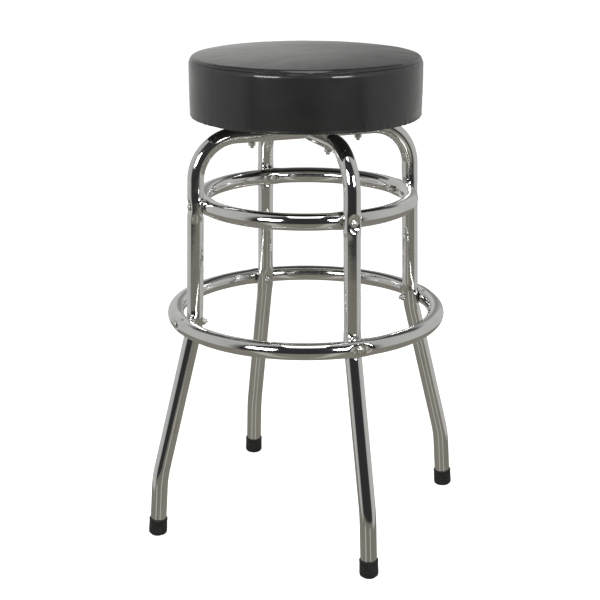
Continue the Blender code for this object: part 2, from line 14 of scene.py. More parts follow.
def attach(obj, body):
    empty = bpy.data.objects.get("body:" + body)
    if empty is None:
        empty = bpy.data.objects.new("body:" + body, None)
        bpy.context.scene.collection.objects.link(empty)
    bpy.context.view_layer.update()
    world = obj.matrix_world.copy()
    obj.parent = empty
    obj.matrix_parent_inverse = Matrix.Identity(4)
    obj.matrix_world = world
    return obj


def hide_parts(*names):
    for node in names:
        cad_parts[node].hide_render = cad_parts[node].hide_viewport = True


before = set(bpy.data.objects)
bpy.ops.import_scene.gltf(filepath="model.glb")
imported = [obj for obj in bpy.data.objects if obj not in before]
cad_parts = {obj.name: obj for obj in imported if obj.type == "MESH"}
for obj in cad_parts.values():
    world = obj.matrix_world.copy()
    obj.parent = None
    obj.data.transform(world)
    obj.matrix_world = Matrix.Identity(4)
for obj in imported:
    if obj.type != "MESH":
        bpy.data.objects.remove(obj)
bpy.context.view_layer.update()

MM = 0.001
Z = Vector((0, 0, 1))

# Tubes, as in the frame
TUBE_RADIUS = 12.7 * MM
TUBE_SIDES = 56
TUBE_STEP = 2 * MM
GAP = 0.3 * MM
FOOT_SPREAD = 256 * MM
LOWER_KINK = (249 * MM, 97 * MM)
UPPER_KINK = (185 * MM, 345 * MM)
LEG_TOP_RADIUS = 176.8 * MM
ARM_HEIGHT = 636 * MM
KINK_BEND = 200 * MM
ARM_BEND = 66 * MM
TUBE_END = 6.6 * MM  # above the floor
CROSSING_REACH = 18 * MM
CROSSING_FADE = 9 * MM
UPPER_RING = (162 * MM, 531 * MM)
LOWER_RING = (206.7 * MM, 347.8 * MM)
JOINT_REACH = 11.5 * MM
JOINT_FADE = 7 * MM
BULGE = 0.07  # how much a tube widens where it is pressed flat, as a share of its width
BULGE_REACH = 9 * MM
BULGE_FADE = 15 * MM

# Fasteners
BOLT_RADIUS = 3 * MM
BOLT_HOLE_RADIUS = 3.6 * MM
HEAD_RADIUS = 5.25 * MM
HEAD_HEIGHT = 3.3 * MM
HEAD_DISH = 3.6 * MM
NUT_DISH = 1.0 * MM
DISH_REACH = 6.5 * MM
UPPER_DISH_FADE = 8 * MM
LOWER_DISH_FADE = 15 * MM
NUT_RADIUS = 5.77 * MM
NUT_FLAT = NUT_RADIUS * math.cos(math.pi / 6)
NUT_HEIGHT = 5 * MM
THREAD_PAST_NUT = 3.6 * MM
THREAD_PITCH = 1 * MM
THREAD_DEPTH = 0.3 * MM
THREAD_STEPS = 10  # in each turn
THREAD_PAST_JOINT = 2 * MM  # of the thread inside what is bolted together
HEAD_EDGE = 0.22  # share of a head's height below its dome
HEAD_BREAK = 0.15 * MM  # of the edge under a head
BOLT_POINT = 0.1 * MM
NUT_MOUTH = (0.6 * MM, 0.5 * MM)  # across and along a nut, where its bore is countersunk
NUT_CLEARANCE = 0.05 * MM
NUT_FACE = 0.95  # of the distance across a nut's flats
NUT_CORNER_FACE = 0.97  # where the corners start to be turned off
NUT_CHAMFER = math.radians(30)
RING_NUT_SPIN = 0.9  # radians from one quarter's bolt and nut to the next
SWIVEL_NUT_SPIN = 0.7
SCREW_RADIUS = 2.1 * MM
SCREW_HEAD_RADIUS = 4.5 * MM
SCREW_HEAD_HEIGHT = 2.6 * MM
SCREW_HOLE_RADIUS = 2.7 * MM
SCREW_COVER = 3 * MM  # of wood over a screw's tip
SCREW_SHANK = 2 * MM
FASTENER_SIDES = 48

# Feet
FOOT_RADIUS = 14.7 * MM
FOOT_HEIGHT = 27 * MM
FOOT_FLOOR = 5 * MM
FOOT_BASE_RADIUS = 10.5 * MM
FOOT_ROUND = 4.2 * MM
FOOT_ROUND_RADIUS = 10.3 * MM  # where the rounding's centre is
FOOT_SIDE = ((0.1, 8), (0.35, 16), (0.5, 22.5), (0.2, 23.4), (0.1, 25.2))  # mm inside FOOT_RADIUS, mm up
FOOT_LIP = 1 * MM
FOOT_SIDES = 64
FOOT_LIP_INSET = 1.1 * MM
FOOT_MOUTH = (0.35 * MM, 0.1 * MM, 0.6 * MM)  # outside the tube, below the top, and below it at the bore
FOOT_CLEARANCE = 0.08 * MM

# Swivel
PLATE_HALF = 75 * MM
PLATE_THICKNESS = 2 * MM
PLATE_CORNER = 9 * MM
PLATE_SIDES = 256
FIXING_RADIUS = 88 * MM
LOWER_PLATE_BASE = ARM_HEIGHT + TUBE_RADIUS + GAP
BALL_PLANE = LOWER_PLATE_BASE + 6.25 * MM
BALL_COUNT = 12
BALL_TRACK_RADIUS = 45 * MM
CAGE_WIDTH = 9 * MM
CAGE_THICKNESS = 1 * MM
CAGE_HOLE_RADIUS = 3.6 * MM
PRESSED_SHEET = 1.8 * MM
RACE_OUTER_RADIUS = 53.4 * MM
RACE_START = 0.5 * MM  # from the rivet to the pressed sheet
RIVET_SEAT_RISE = 2.3 * MM
RIDGE_RISE = 2.4 * MM
TRACK_RISE = 1 * MM
PLATE_BREAK = 0.4 * MM  # of the plate's edges
RIVET_RADIUS = 11.6 * MM
RIVET_BORE = 9.6 * MM
RIVET_FLANGE_RADIUS = 16 * MM
RIVET_FLANGE = 1.3 * MM
RIVET_LIFT = 0.8 * MM  # above the base of the lower plate
RIVET_ROLL = 2 * MM  # rounding of the bore's ends

# Seat
SEAT_HEIGHT = 760 * MM
SEAT_RADIUS = 178 * MM
SEAT_BASE_RADIUS = 177.2 * MM
PLATE_TOP = 2 * BALL_PLANE - LOWER_PLATE_BASE
DUST_COVER_BASE = PLATE_TOP + GAP
DUST_COVER_THICKNESS = 0.8 * MM
DUST_COVER_RADIUS = 165 * MM
FOLD = DUST_COVER_BASE + DUST_COVER_THICKNESS + GAP
BOARD_BASE = FOLD + 1.5 * MM
BOARD_THICKNESS = 12 * MM
LIP_DROP = 2.4 * MM  # how far the cover's lower edge hangs below its fold
LIP_INNER_RADIUS = 167 * MM
LIP_ROUND = 4.5 * MM
TURN_UNDER_STEP = 4 * MM
SEAM_RADIUS = 174.6 * MM
SEAM_HEIGHT = SEAT_HEIGHT - 13.5 * MM
CROWN_RISE = 6.5 * MM
CROWN_RADIUS = 167.3 * MM
RIM_ROUND = 8 * MM
BAND_ROUND = 8 * MM
BAND_TAPER = 0.4 * MM
SHOULDER_DROP = 6.5 * MM  # of the centre of the band's rounding below the seam
SEAM_GROOVE = ((0.5, 0.6), (0.3, 0.2), (-0.8, 0), (0.1, -0.3), (0.4, -0.7))  # mm out and up from the seam
CROWN_ROWS = 18
BAND_ROWS = 16
COVER_TAKE_IN = (0.8 * MM, 0.6 * MM)  # before it is stuffed: evenly, and at most unevenly
COVER_CAP = 2 * MM  # how far a point may move as the cover is stuffed
STUFFING_STEPS = 20
CLOTH = {
    "quality": 6,
    "mass": 0.3,
    "tension_stiffness": 40,
    "compression_stiffness": 40,
    "shear_stiffness": 20,
    "bending_stiffness": 2,
    "air_damping": 6,
    "use_pressure": True,
    "uniform_pressure_force": 4,
}
CORE_RADIUS = 80 * MM
CORE_CELLS = 48  # along each side of the square grid in the middle of the seat
STAPLES = 26
STAPLE_RADIUS = 158 * MM
STAPLE_SIZE = (1.2 * MM, 11 * MM, 0.6 * MM)
STAPLE_ROUND = 0.2 * MM
DRAWN_IN = 0.8 * MM
DUST_COVER_STEP = 20 * MM

SHARP_ANGLE = 35  # degrees, above which an edge is shaded as sharp

Press = namedtuple("Press", "point direction reach fade")
Joint = namedtuple("Joint", "height contact head_seat nut_seat leg_is_outside dish_fade")


# Basic meshes


def smooth_step(value):
    value = min(max(value, 0), 1)
    return value * value * (3 - 2 * value)


def mesh_of(name, bm, sharp_angle=SHARP_ANGLE):
    mesh = bpy.data.meshes.new(name)
    bm.to_mesh(mesh)
    bm.free()
    mesh.shade_smooth()
    mesh.set_sharp_from_angle(angle=math.radians(sharp_angle))
    return mesh


def in_scene(name, data):
    made = bpy.data.objects.new(name, data)
    bpy.context.scene.collection.objects.link(made)
    return made


def add_piece(name, mesh, material, body, stands_for=(), matrix=Matrix()):
    """An object of the mesh that rides on a body and stands for nodes of the frame."""
    piece = in_scene(name, mesh)
    piece.matrix_world = matrix
    if not mesh.materials:
        mesh.materials.append(material)
    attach(piece, body)
    if stands_for:
        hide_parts(*stands_for)
    return piece


def turned(quarter):
    return Matrix.Rotation(quarter * math.pi / 2, 4, "Z")


def at_angle(angle, radius, height):
    return Vector((radius * math.cos(angle), radius * math.sin(angle), height))


def value_at(thing, angle):
    return thing(angle) if callable(thing) else thing


def lathe(rows, sides, closed=False):
    """A body turned about Z from (radius, height) rows, either of which may be a function of the angle.

    A first or last row of radius 0 is a pole. closed joins the last row to the first.
    """
    bm = bmesh.new()
    rings = []
    for radius, height in rows:
        angles = [2 * math.pi * k / sides for k in range(1 if radius == 0 else sides)]
        points = [at_angle(angle, value_at(radius, angle), value_at(height, angle)) for angle in angles]
        rings.append([bm.verts.new(point) for point in points])
    pairs = list(zip(rings, rings[1:]))
    if closed:
        pairs.append((rings[-1], rings[0]))
    for lower, upper in pairs:
        for k in range(sides):
            after = (k + 1) % sides
            corners = [lower[k % len(lower)], lower[after % len(lower)]]
            corners += [upper[after % len(upper)], upper[k % len(upper)]]
            bm.faces.new(list(dict.fromkeys(corners)))
    bmesh.ops.recalc_face_normals(bm, faces=bm.faces)
    return bm


def arc(centre, radius, start, end, pieces):
    """(radius, height) points of an arc between two angles in degrees."""
    angles = [math.radians(start + (end - start) * i / pieces) for i in range(pieces + 1)]
    return [(centre[0] + radius * math.cos(a), centre[1] + radius * math.sin(a)) for a in angles]


def eased(points, rounds=2):
    """The line with its corners cut, and cut again, so that they are round."""
    for _ in range(rounds):
        cut = [points[0]]
        for before, after in zip(points, points[1:]):
            for share in (0.25, 0.75):
                cut.append(tuple(a + (b - a) * share for a, b in zip(before, after)))
        points = [*cut, points[-1]]
    return points


def sheet_profile(centre_line, thickness):
    """The outline of a bent sheet: the centre line set off by half the thickness to each side."""
    points = [Vector(point) for point in centre_line]
    runs = [(after - before).normalized() for before, after in zip(points, points[1:])]
    sides = ([], [])
    for point, before, after in zip(points, runs[:1] + runs, runs + runs[-1:]):
        mitre = (before + after).normalized()
        across = Vector((-mitre.y, mitre.x)) * thickness / 2 / mitre.dot(after)
        sides[0].append(tuple(point + across))
        sides[1].append(tuple(point - across))
    return sides[0] + sides[1][::-1]


def add_cylinder(bm, radius, start, end, sides=24):
    axis = end - start
    matrix = Matrix.Translation((start + end) / 2) @ axis.to_track_quat("Z", "Y").to_matrix().to_4x4()
    bmesh.ops.create_cone(
        bm, cap_ends=True, segments=sides, radius1=radius, radius2=radius, depth=axis.length, matrix=matrix
    )


def shaped_mesh(piece):
    """A new mesh with the piece's modifiers applied."""
    return bpy.data.meshes.new_from_object(piece.evaluated_get(bpy.context.evaluated_depsgraph_get()))


def drilled(name, bm, holes):
    """A mesh of bm with the closed shapes in holes cut out."""
    body = in_scene(name, mesh_of(name, bm))
    cutter = in_scene(name + "_holes", mesh_of(name + "_holes", holes))
    modifier = body.modifiers.new("Holes", "BOOLEAN")
    modifier.object = cutter
    modifier.solver = "EXACT"
    bpy.context.view_layer.update()
    mesh = shaped_mesh(body)
    mesh.name = name
    for item in (body, cutter):
        bpy.data.objects.remove(item)
    mesh.materials.clear()
    mesh.shade_smooth()
    mesh.set_sharp_from_angle(angle=math.radians(SHARP_ANGLE))
    return mesh


# Nodes and materials


def maths_node(tree, operation, first, second=None):
    made = tree.nodes.new("ShaderNodeMath")
    made.operation = operation
    tree.links.new(first, made.inputs[0])
    if isinstance(second, (int, float)):
        made.inputs[1].default_value = second
    elif second:
        tree.links.new(second, made.inputs[1])
    return made.outputs["Value"]


def ramp_node(tree, source, stops):
    """A colour ramp of (position, colour) stops."""
    ramp = tree.nodes.new("ShaderNodeValToRGB")
    elements = ramp.color_ramp.elements
    while len(elements) < len(stops):
        elements.new(0.5)
    for element, (position, colour) in zip(elements, stops):
        element.position = position
        element.color = (*colour, 1)
    tree.links.new(source, ramp.inputs["Fac"])
    return ramp.outputs["Color"]


def range_node(tree, source, low, high, out_low, out_high, smooth=False):
    made = tree.nodes.new("ShaderNodeMapRange")
    if smooth:
        made.interpolation_type = "SMOOTHSTEP"
    limits = {"From Min": low, "From Max": high, "To Min": out_low, "To Max": out_high}
    for socket, value in limits.items():
        made.inputs[socket].default_value = value
    tree.links.new(source, made.inputs["Value"])
    return made.outputs["Result"]


class Finish:
    """A node material with helpers that wire textures in object space to its shader."""

    def __init__(self, name, colour, roughness, metallic=0.0):
        self.material = bpy.data.materials.new(name)
        self.material.use_nodes = True
        self.tree = self.material.node_tree
        self.shader = self.tree.nodes["Principled BSDF"]
        self.set("Base Color", (*colour, 1))
        self.set("Roughness", roughness)
        self.set("Metallic", metallic)
        self.material.diffuse_color = (*colour, 1)
        self.place = self.tree.nodes.new("ShaderNodeTexCoord").outputs["Object"]
        self.normal = None

    def set(self, socket, value):
        self.shader.inputs[socket].default_value = value

    def node(self, kind, **settings):
        made = self.tree.nodes.new(kind)
        for name, value in settings.items():
            setattr(made, name, value)
        return made

    def link(self, start, end):
        self.tree.links.new(start, end)

    def stretched(self, scale):
        """The object coordinates scaled by a vector."""
        mapping = self.node("ShaderNodeMapping")
        mapping.inputs["Scale"].default_value = scale
        self.link(self.place, mapping.inputs["Vector"])
        return mapping.outputs["Vector"]

    def noise(self, scale, detail=3, roughness=0.5, vector=None, distortion=0):
        made = self.node("ShaderNodeTexNoise")
        made.inputs["Scale"].default_value = scale
        made.inputs["Detail"].default_value = detail
        made.inputs["Roughness"].default_value = roughness
        made.inputs["Distortion"].default_value = distortion
        self.link(vector or self.place, made.inputs["Vector"])
        return made.outputs["Fac"]

    def cells(self, scale, feature="F1", vector=None):
        made = self.node("ShaderNodeTexVoronoi", feature=feature)
        made.inputs["Scale"].default_value = scale
        self.link(vector or self.place, made.inputs["Vector"])
        return made.outputs["Distance"]

    def colours(self, source, stops):
        self.link(ramp_node(self.tree, source, stops), self.shader.inputs["Base Color"])

    def roughness(self, source, *limits):
        self.link(range_node(self.tree, source, *limits), self.shader.inputs["Roughness"])

    def bump(self, height, distance, strength=1.0):
        """Adds a relief of the height map, on top of any earlier one."""
        made = self.node("ShaderNodeBump")
        made.inputs["Strength"].default_value = strength
        made.inputs["Distance"].default_value = distance
        self.link(height, made.inputs["Height"])
        if self.normal:
            self.link(self.normal, made.inputs["Normal"])
        self.normal = made.outputs["Normal"]
        self.link(self.normal, self.shader.inputs["Normal"])


def chrome_finish():
    """Bright nickel-chrome plate with a breath of haze and the long soft ripples of a drawn tube."""
    finish = Finish("chrome", (0.84, 0.84, 0.83), 0.06, 1)
    haze = finish.noise(35, detail=5, roughness=0.65)
    finish.roughness(haze, 0.35, 0.75, 0.035, 0.11)
    finish.colours(haze, [(0.3, (0.86, 0.86, 0.85)), (0.8, (0.78, 0.775, 0.76))])
    finish.bump(finish.noise(60, detail=2), 0.06 * MM)
    return finish.material


def rubber_finish():
    """Black moulded rubber with a fine grain, paler and rougher where it has scuffed."""
    finish = Finish("black_rubber", (0.012, 0.012, 0.013), 0.6)
    scuff = finish.noise(140, detail=6, roughness=0.7)
    finish.colours(scuff, [(0.45, (0.009, 0.009, 0.01)), (0.8, (0.04, 0.039, 0.038))])
    finish.roughness(scuff, 0.3, 0.8, 0.42, 0.72)
    finish.bump(finish.noise(1600, detail=2), 0.08 * MM, 0.6)
    finish.bump(scuff, 0.15 * MM, 0.4)
    return finish.material


def zinc_finish():
    """Bright zinc plate: a pale warm grey with faint cloudy patches and fine brushing."""
    finish = Finish("zinc_plated_steel", (0.78, 0.77, 0.74), 0.3, 1)
    clouds = finish.noise(90, detail=6, roughness=0.6)
    finish.colours(clouds, [(0.3, (0.86, 0.85, 0.82)), (0.75, (0.7, 0.69, 0.66))])
    finish.roughness(clouds, 0.3, 0.75, 0.22, 0.42)
    finish.bump(finish.noise(900, detail=3), 0.03 * MM, 0.5)
    return finish.material


def bearing_finish():
    """Polished bearing steel with a film of oil."""
    finish = Finish("bearing_steel", (0.62, 0.62, 0.61), 0.15, 1)
    film = finish.noise(400, detail=4)
    finish.roughness(film, 0.3, 0.7, 0.06, 0.2)
    finish.colours(film, [(0.3, (0.66, 0.66, 0.65)), (0.8, (0.5, 0.49, 0.46))])
    return finish.material


def nylon_finish():
    """Greased, slightly mottled nylon."""
    finish = Finish("nylon", (0.7, 0.68, 0.62), 0.4)
    mottle = finish.noise(300, detail=5)
    finish.colours(mottle, [(0.3, (0.72, 0.7, 0.63)), (0.8, (0.55, 0.5, 0.4))])
    finish.roughness(mottle, 0.3, 0.7, 0.25, 0.5)
    finish.bump(mottle, 0.05 * MM, 0.5)
    return finish.material


def plywood_finish():
    """Plywood: grain along X, and the plies as bands up the edge."""
    finish = Finish("plywood", (0.5, 0.34, 0.19), 0.7)
    grain = finish.noise(14, detail=8, roughness=0.6, vector=finish.stretched((1, 14, 60)), distortion=1.5)
    finish.colours(grain, [(0.25, (0.42, 0.27, 0.14)), (0.5, (0.56, 0.4, 0.23)), (0.8, (0.66, 0.5, 0.32))])
    finish.roughness(grain, 0.3, 0.7, 0.55, 0.8)
    finish.bump(grain, 0.3 * MM, 0.5)
    return finish.material


def felt_finish():
    """Black non-woven lining: matted fibres pressed with a dotted bond pattern."""
    finish = Finish("black_nonwoven", (0.015, 0.015, 0.015), 0.95)
    fibres = finish.noise(900, detail=6, roughness=0.75, distortion=2)
    dots = finish.cells(420)
    finish.colours(fibres, [(0.35, (0.009, 0.009, 0.009)), (0.75, (0.05, 0.05, 0.052))])
    finish.roughness(fibres, 0.3, 0.7, 0.8, 1)
    finish.bump(dots, 0.25 * MM, 0.7)
    finish.bump(fibres, 0.2 * MM, 0.8)
    finish.set("Sheen Weight", 0.2)
    return finish.material


def vinyl_finish():
    """Upholstery vinyl: a fine pebbled grain under a satin skin, a little worn and paler round the rim."""
    finish = Finish("black_vinyl", (0.02, 0.021, 0.022), 0.38)
    wear = finish.noise(16, detail=7, roughness=0.62)
    height = finish.node("ShaderNodeSeparateXYZ")
    finish.link(finish.place, height.inputs["Vector"])
    rim = range_node(finish.tree, height.outputs["Z"], SEAM_HEIGHT - 9 * MM, SEAM_HEIGHT + 5 * MM, 0, 1)
    worn = maths_node(finish.tree, "MULTIPLY", range_node(finish.tree, wear, 0.45, 0.8, 0, 1), rim)
    black, scuffed, grey = (0.008, 0.0083, 0.009), (0.02, 0.02, 0.0205), (0.036, 0.035, 0.034)
    finish.colours(worn, [(0, black), (0.6, scuffed), (1, grey)])
    finish.roughness(wear, 0.3, 0.75, 0.34, 0.5)
    pebbles = finish.cells(1150, feature="SMOOTH_F1")
    finish.bump(finish.noise(55, detail=4), 0.35 * MM, 0.35)
    finish.bump(pebbles, 0.16 * MM, 0.5)
    finish.bump(finish.noise(2600, detail=2), 0.05 * MM, 0.5)
    finish.set("Specular IOR Level", 0.42)
    finish.set("Coat Weight", 0.9)
    finish.set("Coat Roughness", 0.1)
    return finish.material


# Tubes with flats pressed into them


def bend(before, corner, after, radius, step=1 * MM):
    """Points of the arc that rounds a corner between two straight runs."""
    back = (before - corner).normalized()
    onward = (after - corner).normalized()
    half = back.angle(onward) / 2
    centre = corner + (back + onward).normalized() * radius / math.sin(half)
    start = corner + back * radius / math.tan(half) - centre
    turn = math.pi - 2 * half
    axis = back.cross(onward) * -1
    pieces = math.ceil(turn * radius / step)
    return [centre + Matrix.Rotation(turn * i / pieces, 3, axis) @ start for i in range(pieces + 1)]


def evenly(line, step):
    """Points an equal distance apart, near to step, along a line of points."""
    lengths = [0]
    for before, after in zip(line, line[1:]):
        lengths.append(lengths[-1] + (after - before).length)
    count = round(lengths[-1] / step)
    points = []
    leg = 0
    for i in range(count + 1):
        along = lengths[-1] * i / count
        while leg < len(line) - 2 and lengths[leg + 1] < along:
            leg += 1
        share = (along - lengths[leg]) / (lengths[leg + 1] - lengths[leg])
        points.append(line[leg].lerp(line[leg + 1], share))
    return points


def leg_line():
    """The centre line of the leg on +X, from its foot up and along the arm to the stool's axis."""
    foot = Vector((FOOT_SPREAD, 0, 0))
    lower = Vector((LOWER_KINK[0], 0, LOWER_KINK[1]))
    upper = Vector((UPPER_KINK[0], 0, UPPER_KINK[1]))
    top = Vector((LEG_TOP_RADIUS, 0, ARM_HEIGHT))
    centre = Vector((0, 0, ARM_HEIGHT))
    end = foot + (lower - foot).normalized() * TUBE_END
    line = [
        end,
        *bend(foot, lower, upper, KINK_BEND),
        *bend(lower, upper, top, KINK_BEND),
        *bend(upper, top, centre, ARM_BEND),
        centre,
    ]
    return evenly(line, TUBE_STEP)


def leg_radius_at(height):
    """How far a leg's centre line is from the stool's axis at a height."""
    line = leg_line()
    for below, above in zip(line, line[1:]):
        if below.z <= height <= above.z:
            return below.lerp(above, (height - below.z) / (above.z - below.z)).x
    raise ValueError("no leg at that height")


def ring_joint(ring, dish_fade):
    """Where a ring and a leg meet: the flat between them, and the flats under the bolt head and nut."""
    ring_radius, height = ring
    leg_radius = leg_radius_at(height)
    outside, inside = max(ring_radius, leg_radius), min(ring_radius, leg_radius)
    return Joint(
        height,
        (outside + inside) / 2,
        outside + TUBE_RADIUS - HEAD_DISH,
        inside - TUBE_RADIUS + NUT_DISH,
        leg_radius > ring_radius,
        dish_fade,
    )


def joint_presses(joint, out, is_outside):
    """The two flats that a joint presses into one of its tubes; out points away from the stool's axis."""
    up = Z * joint.height
    side = 1 if is_outside else -1
    contact = Press(up + out * (joint.contact + side * GAP / 2), out * -side, JOINT_REACH, JOINT_FADE)
    seat = joint.head_seat if is_outside else joint.nut_seat
    return [contact, Press(up + out * seat, out * side, DISH_REACH, joint.dish_fade)]


def pressed(point, presses):
    """The point moved behind each press's flat, less and less beyond the press's reach."""
    for press in presses:
        offset = point - press.point
        proud = offset.dot(press.direction)
        if not 0 < proud < TUBE_RADIUS:
            continue
        spread = (offset - press.direction * proud).length
        share = 1 - smooth_step((spread - press.reach) / press.fade)
        point = point - press.direction * proud * share
    return point


def swollen(station, places):
    """How much wider than round the tube is at a station near the places where it is pressed."""
    nearest = min((station - place).length for place in places)
    return 1 + BULGE * (1 - smooth_step((nearest - BULGE_REACH) / BULGE_FADE))


def tube(stations, across, presses, places, closed):
    """A tube along stations that lie in a plane, widened across that plane near places."""
    bm = bmesh.new()
    count = len(stations)
    turns = [2 * math.pi * k / TUBE_SIDES for k in range(TUBE_SIDES)]
    rings = []
    for i, station in enumerate(stations):
        before = stations[i - 1] if closed or i else station
        after = stations[(i + 1) % count] if closed or i < count - 1 else station
        outward = (after - before).normalized().cross(across)
        near = [press for press in presses if (press.point - station).length < 3 * TUBE_RADIUS]
        width = swollen(station, places)
        ring = []
        for turn in turns:
            offset = outward * math.cos(turn) + across * math.sin(turn) * width
            ring.append(bm.verts.new(pressed(station + offset * TUBE_RADIUS, near)))
        rings.append(ring)
    for i in range(count if closed else count - 1):
        first, second = rings[i], rings[(i + 1) % count]
        for k in range(TUBE_SIDES):
            after = (k + 1) % TUBE_SIDES
            bm.faces.new((first[k], second[k], second[after], first[after]))
    if not closed:
        bm.faces.new(rings[0])
        bm.faces.new(rings[-1])
    bmesh.ops.recalc_face_normals(bm, faces=bm.faces)
    return bm


def make_leg_frame(name, quarter, pressed_from, joints, material):
    """Two legs and the arm between them, bent from one tube."""
    half = leg_line()
    stations = half + [Vector((-point.x, 0, point.z)) for point in reversed(half[:-1])]
    crossing = Vector((0, 0, ARM_HEIGHT))
    flat = crossing - Z * pressed_from * GAP / 2
    presses = [Press(flat, Z * pressed_from, CROSSING_REACH, CROSSING_FADE)]
    places = [crossing]
    for side in (1, -1):
        out = Vector((side, 0, 0))
        for joint in joints:
            presses += joint_presses(joint, out, joint.leg_is_outside)
            places.append(out * leg_radius_at(joint.height) + Z * joint.height)
    bm = tube(stations, Vector((0, -1, 0)), presses, places, closed=False)
    bmesh.ops.transform(bm, matrix=turned(quarter), verts=bm.verts)
    add_piece(name + "_tube", mesh_of(name, bm), material, "base", [name])


def make_ring(name, ring, joint, material):
    radius, height = ring
    count = 4 * round(math.pi / 2 * radius / TUBE_STEP)
    stations = [at_angle(2 * math.pi * i / count, radius, height) for i in range(count)]
    presses = []
    places = []
    for quarter in range(4):
        out = at_angle(quarter * math.pi / 2, 1, 0)
        presses += joint_presses(joint, out, not joint.leg_is_outside)
        places.append(out * radius + Z * height)
    bm = tube(stations, Z, presses, places, closed=True)
    add_piece(name + "_tube", mesh_of(name, bm), material, "base", [name])


# Fasteners


def thread_radius(radius, height):
    """The radius of a helical thread at a height, as a function of the angle."""

    def at(angle):
        turn = (height / THREAD_PITCH - angle / (2 * math.pi)) % 1
        return radius - THREAD_DEPTH * abs(2 * turn - 1)

    return at


def bolt_mesh(name, length, threaded, radius, head_radius, head_height):
    """A domed bolt along -Z whose head rests on the plane z = 0, threaded for part of its length."""
    rows = []
    for i in range(13):
        turn = math.pi / 2 * i / 12
        up = HEAD_EDGE + (1 - HEAD_EDGE) * math.cos(turn)
        rows.append((head_radius * math.sin(turn), head_height * up))
    rows += [(head_radius, head_height * 0.06), (head_radius - HEAD_BREAK, 0)]
    rows += [(radius, 0), (radius, threaded - length)]
    steps = round(threaded / THREAD_PITCH * THREAD_STEPS)
    for i in range(1, steps):
        height = threaded - length - threaded * i / steps
        rows.append((thread_radius(radius, height), height))
    rows += [(radius - THREAD_DEPTH, -length), (0, -length - BOLT_POINT)]
    return mesh_of(name, lathe(rows, FASTENER_SIDES))


def nut_outline(angle):
    half_side = math.pi / 6
    return NUT_FLAT / math.cos((angle + half_side) % (2 * half_side) - half_side)


def nut_mesh():
    """A hexagon nut from z = 0 down, its corners turned off at both ends."""

    def chamfer(level, side):
        rise = side * math.tan(NUT_CHAMFER)
        return lambda angle: level + rise * (nut_outline(angle) - NUT_FLAT * NUT_CORNER_FACE)

    bore = BOLT_RADIUS + NUT_CLEARANCE
    mouth, depth = NUT_MOUTH
    rows = [
        (bore, -depth),
        (bore + mouth, 0),
        (NUT_FLAT * NUT_FACE, 0),
        (nut_outline, chamfer(0, -1)),
        (nut_outline, chamfer(-NUT_HEIGHT, 1)),
        (NUT_FLAT * NUT_FACE, -NUT_HEIGHT),
        (bore + mouth, -NUT_HEIGHT),
        (bore, depth - NUT_HEIGHT),
    ]
    return mesh_of("nut", lathe(rows, FASTENER_SIDES, closed=True), 25)


def make_fasteners(name, head, nut, axis, spin, material):
    """Four bolts and their nuts. axis carries a bolt from Z to its place; head and nut are along it."""
    length = head - nut + NUT_HEIGHT + THREAD_PAST_NUT
    threaded = NUT_HEIGHT + THREAD_PAST_NUT + THREAD_PAST_JOINT
    bolt = bolt_mesh(name + "_bolt", length, threaded, BOLT_RADIUS, HEAD_RADIUS, HEAD_HEIGHT)
    nuts = nut_mesh()
    for quarter in range(4):
        turn = Matrix.Rotation(spin * quarter, 4, "Z")
        for kind, mesh, seat in (("bolt", bolt, head), ("nut", nuts, nut)):
            node = f"{name}_{kind}_{quarter + 1}"
            matrix = turned(quarter) @ axis @ Matrix.Translation((0, 0, seat)) @ turn
            add_piece(node + "_detail", mesh, material, "base", [node], matrix)


def make_ring_fasteners(name, joint, material):
    outward = Matrix.Translation((0, 0, joint.height)) @ Matrix.Rotation(math.pi / 2, 4, "Y")
    axis = outward @ Matrix.Rotation(joint.height, 4, "Z")
    make_fasteners(name, joint.head_seat + GAP, joint.nut_seat - GAP, axis, RING_NUT_SPIN, material)


def make_swivel_fasteners(material):
    head = LOWER_PLATE_BASE + PLATE_THICKNESS + GAP
    nut = ARM_HEIGHT - TUBE_RADIUS - GAP
    axis = Matrix.Translation((FIXING_RADIUS, 0, 0))
    make_fasteners("swivel", head, nut, axis, SWIVEL_NUT_SPIN, material)


# Feet


def make_feet(material):
    """Rubber caps with a rounded base and a soft lip, in line with the tubes and flat on the floor."""
    mouth, mouth_drop, bore_drop = FOOT_MOUTH
    bore = TUBE_RADIUS + FOOT_CLEARANCE
    rows = [
        (0, 0),
        (FOOT_BASE_RADIUS * 0.5, 0),
        (FOOT_BASE_RADIUS * 0.9, 0),
        *arc((FOOT_ROUND_RADIUS, FOOT_ROUND), FOOT_ROUND, -88, -4, 10),
        *[(FOOT_RADIUS - inside * MM, up * MM) for inside, up in FOOT_SIDE],
        *arc((FOOT_RADIUS - FOOT_LIP_INSET, FOOT_HEIGHT - FOOT_LIP), FOOT_LIP, 0, 90, 4),
        (TUBE_RADIUS + mouth, FOOT_HEIGHT - mouth_drop),
        (bore, FOOT_HEIGHT - bore_drop),
        (bore, FOOT_FLOOR),
        (0, FOOT_FLOOR),
    ]
    bm = lathe(rows, FOOT_SIDES)
    splay = math.atan2(FOOT_SPREAD - LOWER_KINK[0], LOWER_KINK[1])
    lift = FOOT_BASE_RADIUS * math.sin(splay)
    tilt = Matrix.Translation((FOOT_SPREAD, 0, lift)) @ Matrix.Rotation(-splay, 4, "Y")
    bmesh.ops.transform(bm, matrix=tilt, verts=bm.verts)
    for vert in bm.verts:
        if math.hypot(vert.co.x - FOOT_SPREAD, vert.co.y) < FOOT_BASE_RADIUS and vert.co.z < 2.1 * lift:
            vert.co.z = 0
        vert.co.z = max(vert.co.z, 0)
    mesh = mesh_of("foot_cap", bm)
    for quarter in range(4):
        node = f"foot_cap_{quarter + 1}"
        add_piece(node + "_rubber", mesh, material, "base", [node], turned(quarter))


# Swivel


